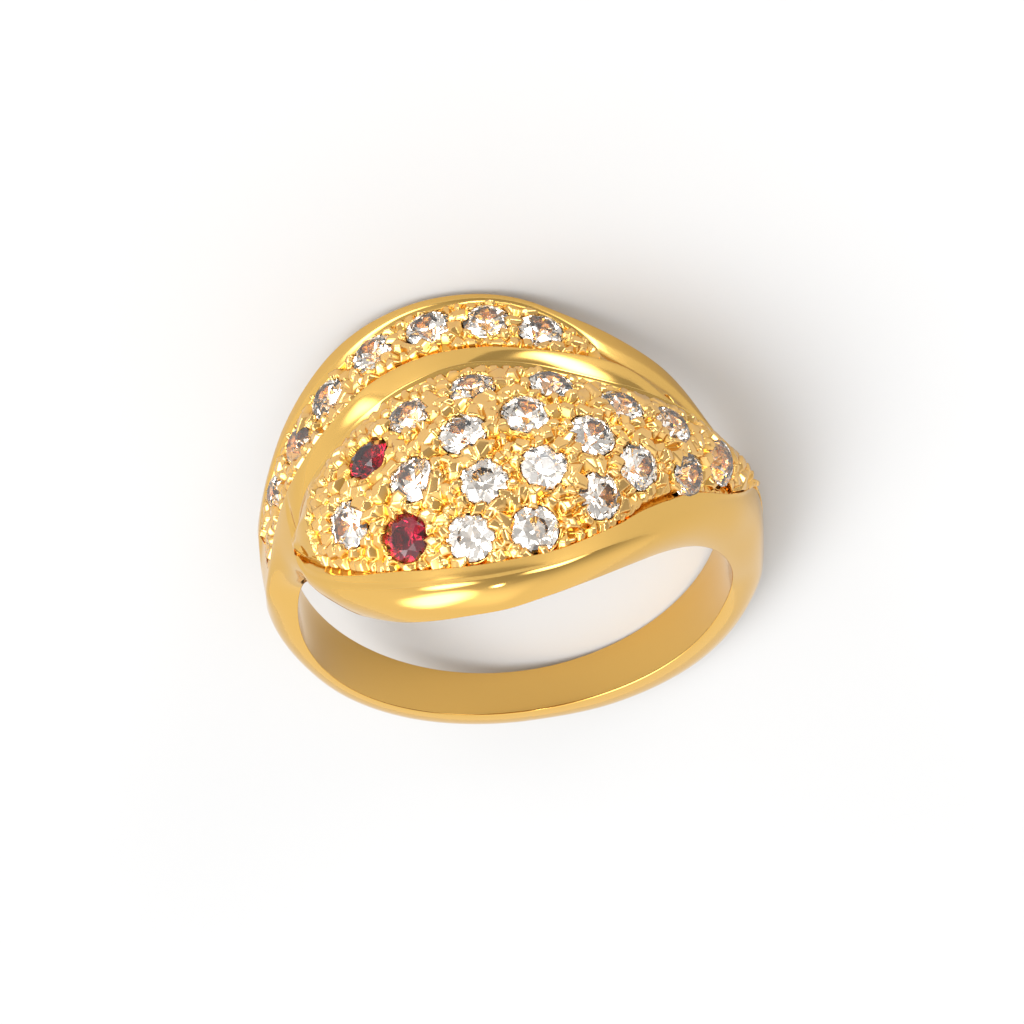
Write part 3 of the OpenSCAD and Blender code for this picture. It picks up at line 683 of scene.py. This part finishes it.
class Field:
    """A stone-set field: a grid between its two edges, with the grains and seats as its relief.
    Each of its holes is a place, the radius of the bead round it, its own radius and its depth."""

    def __init__(self, angles, rows, start, end, surface, seats):
        middle = (start + end) / 2
        half = np.maximum((end - start) / 2, LEAST_FIELD_W / 2)
        across = np.linspace(-1, 1, rows)
        y = middle + across[:, None] * half
        self.base = spot(angles, y, surface(y)).transpose(1, 0, 2)
        round_ = np.gradient(self.base, axis=0)
        along = np.gradient(self.base, axis=1)
        self.normal = unit(np.cross(round_, along))
        self.seats = seats
        self.grains = []
        self.holes = []

    def add_grain(self, place, normal, direction, size, height):
        """A cut grain: its place, the direction it is drawn out in, its size and height, the turns
        and distances of the flats round it, and the slant of the flat on top."""
        sides = random.integers(*SIDES)
        turned = random.uniform(-SIDE_TURN, SIDE_TURN, sides)
        turns = 2 * np.pi * (np.arange(sides) + turned) / sides
        reach = random.uniform(*SIDE_REACH, sides)
        top = random.normal(size=2) * TOP_SLANT
        stretch = random.uniform(*DRAWN_OUT)
        first = unit(direction - (direction @ normal) * normal)
        self.grains.append((place, first, np.cross(normal, first), size, stretch, height, turns,
                            reach, top))

    def add_claws(self, seats, count, reach, size, height):
        """Grains at even turns round each stone, each a little off its turn, that lap its edge."""
        for seat in seats:
            turn = random.uniform(0, 2 * np.pi)
            for i in range(count):
                a = turn + 2 * np.pi * (i + random.uniform(-CLAW_STRAY, CLAW_STRAY)) / count
                radial = np.cos(a) * seat.first + np.sin(a) * seat.second
                place = seat.surface + (seat.diameter / 2 + reach) * radial
                others = [s for s in self.seats if s is not seat]
                laps = [
                    np.linalg.norm(place - s.surface) < s.diameter / 2 - CLAW_LAP for s in others
                ]
                if not any(laps):
                    self.add_grain(place, seat.normal, radial, size * random.uniform(*SET_SIZE),
                                   height * random.uniform(*SET_HEIGHT))

    def add_edging(self, row, spacing, size, height):
        """Grains in a line along one edge of the field, which scallop it."""
        line = self.base[:, row]
        run = np.concatenate([[0], np.cumsum(np.linalg.norm(np.diff(line, axis=0), axis=1))])
        for place in np.arange(spacing / 2, run[-1], spacing):
            stray = random.uniform(-EDGE_STRAY, EDGE_STRAY)
            c = min(np.searchsorted(run, place + stray), len(line) - 1)
            if self.room_at(line[c]) > 0:
                inward = self.base[c, row // 2] - line[c] + 1e-6
                self.add_grain(line[c], self.normal[c, row], inward,
                               size * random.uniform(*SET_SIZE),
                               height * random.uniform(*SET_HEIGHT))

    def room_at(self, point):
        """Distance from a point to the edge of the nearest seat. A deep seat opens wider."""
        return min(np.linalg.norm(point - s.surface) - s.diameter / 2 - s.sink for s in self.seats)

    def add_grains(self, tries, spacing, size, height):
        """Grains at random places of the field that keep their distance from one another."""
        columns, rows = self.base.shape[:2]
        taken = np.array([g[0] for g in self.grains]).reshape(-1, 3)
        for c, r in zip(random.integers(0, columns, tries), random.integers(2, rows - 2, tries)):
            point = self.base[c, r]
            if len(taken) and np.min(np.sum((taken - point) ** 2, 1)) < spacing**2:
                continue
            if self.room_at(point) > GRAIN_ROOM:
                taken = np.vstack([taken, point])
                self.add_grain(point, self.normal[c, r], random.normal(size=3),
                               size * random.uniform(*FREE_SIZE),
                               height * random.uniform(*FREE_HEIGHT))

    def relief(self):
        """Height of the relief over the base: a valley floor, a thin notched collar round each
        seat, and the highest of the grains, each the least of its slanting flats. A seat is a cone
        below its stone, and only grains that lap the stone's edge stand in it."""
        flat = self.base.reshape(-1, 3)
        ground = np.full(len(flat), VALLEY)
        floor = np.zeros(len(flat))
        for seat in self.seats:
            away = flat - seat.surface
            rise = away @ seat.normal
            distance = np.sqrt(np.maximum(0, np.sum(away**2, 1) - rise**2))
            beyond = distance - seat.diameter / 2
            level = np.abs(rise) < SEAT_REACH
            turn = np.arctan2(away @ seat.second, away @ seat.first)
            notch = COLLAR_H + NOTCH_H * np.sin(NOTCHES * turn + random.uniform(0, 6))
            collar = VALLEY + notch * np.exp(-((beyond - COLLAR_OUT) / COLLAR_W) ** 2)
            ground = np.maximum(ground, np.where(level, collar, VALLEY))
            fall = 2 * (PAVILION_SHARE + SEAT_STEEPER)
            cone = -seat.sink - SEAT_GAP + fall * np.minimum(beyond, 0)
            inside = level & (beyond < SEAT_EDGE + SEAT_OPENING * (seat.sink - GIRDLE_SINK))
            floor = np.where(inside, np.minimum(floor, cone), floor)
        for place, first, second, size, stretch, height, turns, reach, top in self.grains:
            span = GRAIN_SPAN * size * stretch
            near = np.flatnonzero(np.sum((flat - place) ** 2, 1) < span**2)
            away = flat[near] - place
            across = np.stack([away @ first / stretch, away @ second], -1) / size
            out = across @ np.stack([np.cos(turns), np.sin(turns)])
            flats = (FLAT_FALL * (reach - out)).min(1)
            bump = height * np.minimum(flats, TOP_H + across @ top)
            bump = np.maximum(bump, VALLEY)
            ground[near] = np.maximum(ground[near], bump)
            lapping = near[bump > LAP_H]
            floor[lapping] = 0
        for place, bead, radius, depth in self.holes:
            away = np.linalg.norm(flat - place, axis=1)
            rise = mix(VALLEY, BEAD_H, between(away, (bead, FLAT_PART * bead)))
            ground = np.maximum(ground, rise)
            ground -= depth * between(away, (radius, FLAT_PART * radius))
        return np.where(floor < 0, floor, ground).reshape(self.base.shape[:2])

    def build(self, name, depth):
        """The field as a closed plate: the relief on top, and a plain underside at the given depth
        between two shallower sides."""
        relief = self.relief()
        top = self.base + relief[..., None] * self.normal
        edges = [-1, -1, 0, 0]
        outward = unit(self.base[:, edges] * [1, 0, 1])
        down = np.array([SIDE_DEPTH, depth, depth, SIDE_DEPTH])[:, None] * outward
        points = np.concatenate([top, self.base[:, edges] - down], 1)
        # The plate's sides and underside take the valley's relief, so they get the painted valley
        # reflection too.
        values = np.concatenate([relief, np.full(relief[:, :4].shape, VALLEY)], 1)
        faces = tube_faces(points.shape[0], points.shape[1], False)
        return add_mesh(name, points, faces, values=values)


# First and last angle of the head's field, and its grid's points along and across
HEAD_SPAN, HEAD_GRID = (-44.4, 72.5), (480, 190)

# Angle and place along the finger of the drilled hole, the radii of its bead and itself, and how
# deep it is, in millimetres
DRILLED_HOLE = (37.6, -1.7)
BEAD_R, DRILL_R, DRILL_DEPTH = 0.42, 0.17, 0.5


def build_head_field():
    """The head's field, set with its colourless stones and the two red ones."""
    columns, rows = HEAD_GRID
    angles = np.linspace(*HEAD_SPAN, columns)
    lines = Lines(angles)
    edges = HeadEdges(lines)
    field = Field(angles, rows, edges.start, edges.end, lines.head_field, head_seats + eye_seats)
    field.add_claws(head_seats, count=5, reach=0.13, size=0.27, height=0.22)
    field.add_claws(eye_seats, count=7, reach=0.22, size=0.24, height=0.1)
    field.add_edging(row=-4, spacing=0.5, size=0.24, height=0.17)
    field.add_edging(row=4, spacing=0.46, size=0.24, height=0.12)
    field.add_grains(tries=9000, spacing=0.43, size=0.29, height=0.24)
    drilled = Seat("head", *DRILLED_HOLE, diameter=0, sink=0)
    field.holes.append((drilled.surface, BEAD_R, DRILL_R, DRILL_DEPTH))
    return field.build("head_field", SEAT_ROOM)


# First and last angle of the tail's field, its grid's points along and across, where it narrows to
# its end, its depth, and how far from the ridge and from the rim's foot it starts and ends
TAIL_SPAN, TAIL_GRID = (-74, 26.5), (430, 62)
TAIL_NARROWS, TAIL_ROOM = (28, 24), 0.85
TAIL_FROM_RIDGE, TAIL_FROM_EDGE = 0.2, 0.02


def build_tail_field():
    """The tail's field, between the ridge and the rim."""
    columns, rows = TAIL_GRID
    angles = np.linspace(*TAIL_SPAN, columns)
    lines = Lines(angles)
    start = lines.ridge + np.minimum(TAIL_FROM_RIDGE, (lines.edge - lines.ridge) / 3)
    end = start + (lines.edge - TAIL_FROM_EDGE - start) * between(angles, TAIL_NARROWS)
    field = Field(angles, rows, start, end, lines.tail_field, tail_seats)
    field.add_claws(tail_seats, count=5, reach=0.12, size=0.26, height=0.22)
    field.add_edging(row=-3, spacing=0.5, size=0.22, height=0.14)
    field.add_grains(tries=4000, spacing=0.43, size=0.27, height=0.22)
    return field.build("tail_field", TAIL_ROOM)


# Stones

# Heights of a cut stone as shares of its diameter, and radii of its facets' corners as shares of
# its own radius
CUT_CROWN, CUT_GIRDLE, CUT_PAVILION = 0.15, 0.02, 0.42
TABLE_R, STAR_R, LOW_R = 0.52, 0.78, 0.5
FACETS = 8


def stone_faces():
    """Faces of a round brilliant. Its points are a ring at the table, one at the stars, two of
    double count at the girdle, a ring at the lower girdle facets and the point below."""
    star, edge, low, tip = FACETS, 2 * FACETS, 6 * FACETS, 7 * FACETS
    round_edge = 2 * FACETS
    faces = [list(range(FACETS))]
    for i in range(FACETS):
        before, after = (i - 1) % FACETS, (i + 1) % FACETS
        top = [edge + (2 * i + k) % round_edge for k in range(3)]
        base = [v + round_edge for v in top]
        faces += [
            [i, star + i, after],
            [i, star + before, top[0], star + i],
            [star + i, top[0], top[1]],
            [star + i, top[1], top[2]],
            [top[0], base[0], base[1], top[1]],
            [top[1], base[1], base[2], top[2]],
            [base[0], low + i, base[1]],
            [base[1], low + i, base[2]],
            [base[0], low + before, tip, low + i],
        ]
    return faces


def cut_stone(name, seat):
    """A round brilliant: table, star, kite and upper girdle facets above a thin girdle, and main
    and lower girdle facets below it, each flat because its corners lie on one plane."""
    r = seat.diameter / 2
    rise, thin, fall = (seat.diameter * share for share in (CUT_CROWN, CUT_GIRDLE, CUT_PAVILION))
    table_r, star_r, low_r = TABLE_R * r, STAR_R * r, LOW_R * r
    half_step = np.pi / FACETS

    def ring(count, radius, z, turn=0.0):
        a = turn + 2 * np.pi * np.arange(count) / count
        return np.stack([radius * np.cos(a), radius * np.sin(a), np.full(count, z)], -1)

    star_z = rise * (r - star_r * np.cos(half_step)) / (r - table_r)
    low_z = -thin - fall * (1 - low_r * np.cos(half_step) / r)
    points = np.concatenate([
        ring(FACETS, table_r, rise),
        ring(FACETS, star_r, star_z, half_step),
        ring(2 * FACETS, r, 0),
        ring(2 * FACETS, r, -thin),
        ring(FACETS, low_r, low_z, half_step),
        [[0, 0, -thin - fall]],
    ])
    mesh = bpy.data.meshes.new(name)
    mesh.from_pydata(to_world(seat.place(points)).tolist(), [], stone_faces())
    mesh.validate()
    piece = bpy.data.objects.new(name, mesh)
    bpy.context.collection.objects.link(piece)
    return piece


# Materials

def principled(name, color, roughness, metallic=0.0, transmission=0.0, ior=1.45):
    """A material with its constants on the shader's own sockets. Returns it with its shader."""
    material = bpy.data.materials.new(name)
    material.use_nodes = True
    shader = material.node_tree.nodes["Principled BSDF"]
    shader.inputs["Base Color"].default_value = (*color, 1)
    shader.inputs["Roughness"].default_value = roughness
    shader.inputs["Metallic"].default_value = metallic
    shader.inputs["Transmission Weight"].default_value = transmission
    shader.inputs["IOR"].default_value = ior
    return material, shader


# Colours and roughness of the gold. The grained gold carries a painted reflection: its valleys are
# painted a deeper orange for the light that gold throws on gold there, fading with height to the
# gold's own colour, which it has in full from BRIGHT_H upwards.
# Colours of the stones, with how strongly they bend light. The colourless stone's warm tint is a
# painted reflection of the gold round it.
GOLD_POLISHED = (0.72, 0.44, 0.12)
# The second colour on the next line is a painted reflection in the grained gold's valleys, not a
# colour of the metal itself.
GOLD_GRAINED, GOLD_VALLEY_PAINTED_REFLECTION = (0.78, 0.48, 0.17), (0.78, 0.41, 0.07)
POLISHED_ROUGHNESS, GRAINED_ROUGHNESS = 0.12, 0.14
BRIGHT_H = 0.12
CLEAR_STONE_PAINTED_REFLECTION, CLEAR_IOR = (1.0, 0.92, 0.82), 2.1
RED_STONE, RED_IOR = (0.27, 0.004, 0.02), 1.65


def polished_gold():
    """Mirror-polished yellow gold."""
    material, _ = principled("polished_gold", GOLD_POLISHED, POLISHED_ROUGHNESS, metallic=1.0)
    return material


def grained_gold():
    """Gold between the stones, with a painted reflection: a deeper orange in its valleys, for the
    light that gold throws on gold there.
    """
    material, shader = principled("grained_gold", GOLD_GRAINED, GRAINED_ROUGHNESS, metallic=1.0)
    nodes, links = material.node_tree.nodes, material.node_tree.links
    relief = nodes.new("ShaderNodeAttribute")
    relief.attribute_name = "relief"
    # The ramp paints that reflection by the relief's height: the painted valley colour low down, the
    # gold's own colour on the tops.
    ramp = nodes.new("ShaderNodeValToRGB")
    for element, color in zip(ramp.color_ramp.elements, (GOLD_VALLEY_PAINTED_REFLECTION, GOLD_GRAINED)):
        element.color = (*color, 1)
    span = nodes.new("ShaderNodeMapRange")
    span.inputs["From Min"].default_value = VALLEY
    span.inputs["From Max"].default_value = BRIGHT_H
    links.new(relief.outputs["Fac"], span.inputs["Value"])
    links.new(span.outputs["Result"], ramp.inputs["Fac"])
    links.new(ramp.outputs["Color"], shader.inputs["Base Color"])
    return material


def stone_material(name, color, ior):
    """Clear cut stone, tinted by its colour. The colourless stone's warm tint is a painted reflection
    of the gold round it; the red stone's colour is its own.
    """
    material, _ = principled(name, color, 0.0, transmission=1.0, ior=ior)
    return material


# Building

def finish_piece(piece, material, slot, *nodes):
    """Gives a piece its material, hangs it on the body and hides the solids' nodes that it stands for.
    slot is not used.
    """
    piece.data.materials.append(material)
    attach(piece, BODY)
    if nodes:
        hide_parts(*nodes)


finish_piece(build_casting(), polished_gold(), "yellow_gold", "band")
grained = grained_gold()
finish_piece(build_head_field(), grained, "yellow_gold")
finish_piece(build_tail_field(), grained, "yellow_gold")
# The colourless stone's warm tint is a painted reflection of the gold round it.
clear = stone_material("colourless_stone", CLEAR_STONE_PAINTED_REFLECTION, CLEAR_IOR)
red = stone_material("red_stone", RED_STONE, RED_IOR)
for seat, name in zip(all_seats, all_names):
    eye = name in eye_names
    finish_piece(cut_stone(name + "_cut", seat), red if eye else clear,
                 "red_stone" if eye else "colourless_stone", name)


# Floor, light and camera

# Width of the floor in metres, and its tone and finish
FLOOR_W = 6.0
FLOOR_TONE, FLOOR_ROUGHNESS = (0.54, 0.54, 0.54), 0.6


def add_floor():
    """A plain pale floor under the ring."""
    mesh = bpy.data.meshes.new("floor")
    half = FLOOR_W / 2
    corners = [(-half, -half, 0), (half, -half, 0), (half, half, 0), (-half, half, 0)]
    mesh.from_pydata(corners, [], [[0, 1, 2, 3]])
    floor = bpy.data.objects.new("floor", mesh)
    bpy.context.collection.objects.link(floor)
    material, _ = principled("pale_floor", FLOOR_TONE, FLOOR_ROUGHNESS)
    mesh.materials.append(material)


def softbox_group():
    """Node group for a soft light far off. The direction's parts along Wide and High, each over
    its part along Aim, are 1 at the edge of the light, which fades from there to the middle."""
    group = bpy.data.node_groups.new("softbox", "ShaderNodeTree")
    for name in ("Aim", "Wide", "High"):
        group.interface.new_socket(name, in_out="INPUT", socket_type="NodeSocketVector")
    group.interface.new_socket("Strength", in_out="INPUT", socket_type="NodeSocketFloat")
    group.interface.new_socket("Light", in_out="OUTPUT", socket_type="NodeSocketFloat")
    nodes, links = group.nodes, group.links
    given = nodes.new("NodeGroupInput")
    result = nodes.new("NodeGroupOutput")
    direction = nodes.new("ShaderNodeTexCoord")

    def math(operation, *values):
        node = nodes.new("ShaderNodeMath")
        node.operation = operation
        for socket, value in zip(node.inputs, values):
            if isinstance(value, bpy.types.NodeSocket):
                links.new(value, socket)
            else:
                socket.default_value = value
        return node.outputs[0]

    def part_along(axis):
        node = nodes.new("ShaderNodeVectorMath")
        node.operation = "DOT_PRODUCT"
        links.new(direction.outputs["Generated"], node.inputs[0])
        links.new(given.outputs[axis], node.inputs[1])
        return node.outputs["Value"]

    ahead = math("MAXIMUM", part_along("Aim"), 0.001)
    wide = math("DIVIDE", part_along("Wide"), ahead)
    high = math("DIVIDE", part_along("High"), ahead)
    out = math("SQRT", math("ADD", math("MULTIPLY", wide, wide), math("MULTIPLY", high, high)))
    fade = nodes.new("ShaderNodeMapRange")
    fade.interpolation_type = "SMOOTHSTEP"
    links.new(out, fade.inputs["Value"])
    fade.inputs["From Min"].default_value = 1.0
    fade.inputs["From Max"].default_value = BOX_WHOLE
    links.new(math("MULTIPLY", fade.outputs["Result"], given.outputs["Strength"]),
              result.inputs["Light"])
    return group


# A direction's part along the bright side, and its part upwards, where each light starts and is
# whole, and where a softbox is whole, as a share of its half width
BRIGHTENS, OVERHEAD = (-1.0, 0.2), (0.75, 1.0)
BOX_WHOLE = 0.3


def add_world(dim, bright, overhead, side, softboxes):
    """Soft light from all round: bright from the side at the given azimuth, dim from the other,
    and stronger overhead, with softboxes in it, each given by its azimuth, elevation, half width
    and half height in degrees, and its strength."""
    world = bpy.data.worlds.new("studio")
    world.use_nodes = True
    nodes, links = world.node_tree.nodes, world.node_tree.links
    nodes["Background"].inputs["Color"].default_value = (1, 1, 1, 1)
    direction = nodes.new("ShaderNodeTexCoord")

    def light_towards(vector, start, end, low, high):
        along = nodes.new("ShaderNodeVectorMath")
        along.operation = "DOT_PRODUCT"
        along.inputs[1].default_value = vector
        links.new(direction.outputs["Generated"], along.inputs[0])
        level = nodes.new("ShaderNodeMapRange")
        level.interpolation_type = "SMOOTHSTEP"
        for name, value in (("From Min", start), ("From Max", end), ("To Min", low), ("To Max", high)):
            level.inputs[name].default_value = value
        links.new(along.outputs["Value"], level.inputs["Value"])
        return level.outputs["Result"]

    toward = (np.cos(np.radians(side)), np.sin(np.radians(side)), 0)
    total = light_towards(toward, *BRIGHTENS, dim, bright)
    lights = [light_towards((0, 0, 1), *OVERHEAD, 0.0, overhead)]
    group = softbox_group()
    for azimuth, elevation, wide, tall, power in softboxes:
        a, e, w, t = np.radians([azimuth, elevation, wide, tall])
        box = nodes.new("ShaderNodeGroup")
        box.node_tree = group
        aim = (np.cos(e) * np.cos(a), np.cos(e) * np.sin(a), np.sin(e))
        box.inputs["Aim"].default_value = aim
        box.inputs["Wide"].default_value = np.array([-np.sin(a), np.cos(a), 0]) / np.tan(w)
        up = np.array([-np.sin(e) * np.cos(a), -np.sin(e) * np.sin(a), np.cos(e)])
        box.inputs["High"].default_value = up / np.tan(t)
        box.inputs["Strength"].default_value = power
        lights.append(box.outputs["Light"])
    for light in lights:
        add = nodes.new("ShaderNodeMath")
        links.new(total, add.inputs[0])
        links.new(light, add.inputs[1])
        total = add.outputs[0]
    links.new(total, nodes["Background"].inputs["Strength"])
    bpy.context.scene.world = world


# The photograph's view of the upright ring: the camera's height over the finger hole's axis as an
# angle, its roll, its distance in millimetres and the picture's scale, with the finger hole's middle
# in it, the width of the camera's sensor and the nearest distance that it shows, in metres
VIEW_RISE, VIEW_ROLL = 52.7, -8.1
VIEW_DISTANCE = 250.0
PIXELS_PER_MM = 25.5
PICTURE = 1024
HOLE_X, HOLE_Y = 510.7, 563.5
SENSOR = 36.0
CLIP_START = 0.01


def add_camera():
    """The camera of the photograph."""
    rise, roll = np.radians(VIEW_RISE), np.radians(VIEW_ROLL)
    back = np.array([0, -np.cos(rise), np.sin(rise)])
    upward = np.array([0, np.sin(rise), np.cos(rise)])
    right = np.cos(roll) * np.array([1, 0, 0]) + np.sin(roll) * upward
    up = np.cross(back, right)
    camera = bpy.data.cameras.new("camera")
    camera.sensor_width = SENSOR
    camera.lens = PIXELS_PER_MM * VIEW_DISTANCE / PICTURE * SENSOR
    camera.shift_x = (PICTURE / 2 - HOLE_X) / PICTURE
    camera.shift_y = (HOLE_Y - PICTURE / 2) / PICTURE
    camera.clip_start = CLIP_START
    holder = bpy.data.objects.new("camera", camera)
    axes = TURN @ np.array([right, up, back]).T
    place = to_world(VIEW_DISTANCE * back)
    holder.matrix_world = Matrix([[*axes[i], place[i]] for i in range(3)] + [[0, 0, 0, 1]])
    bpy.context.collection.objects.link(holder)
    bpy.context.scene.camera = holder


add_floor()
add_world(dim=0.45, bright=1.2, overhead=0.4, side=60, softboxes=[
    # azimuth, elevation, half width, half height, strength
    (-12, 53, 36, 26, 5.5),
    (-121, 13, 24, 16, 8.0),
    (-57, 14, 18, 14, 7.0),
    (-90, 50, 5, 5, 20.0),
])
add_camera()
bpy.context.scene.view_settings.view_transform = "Standard"
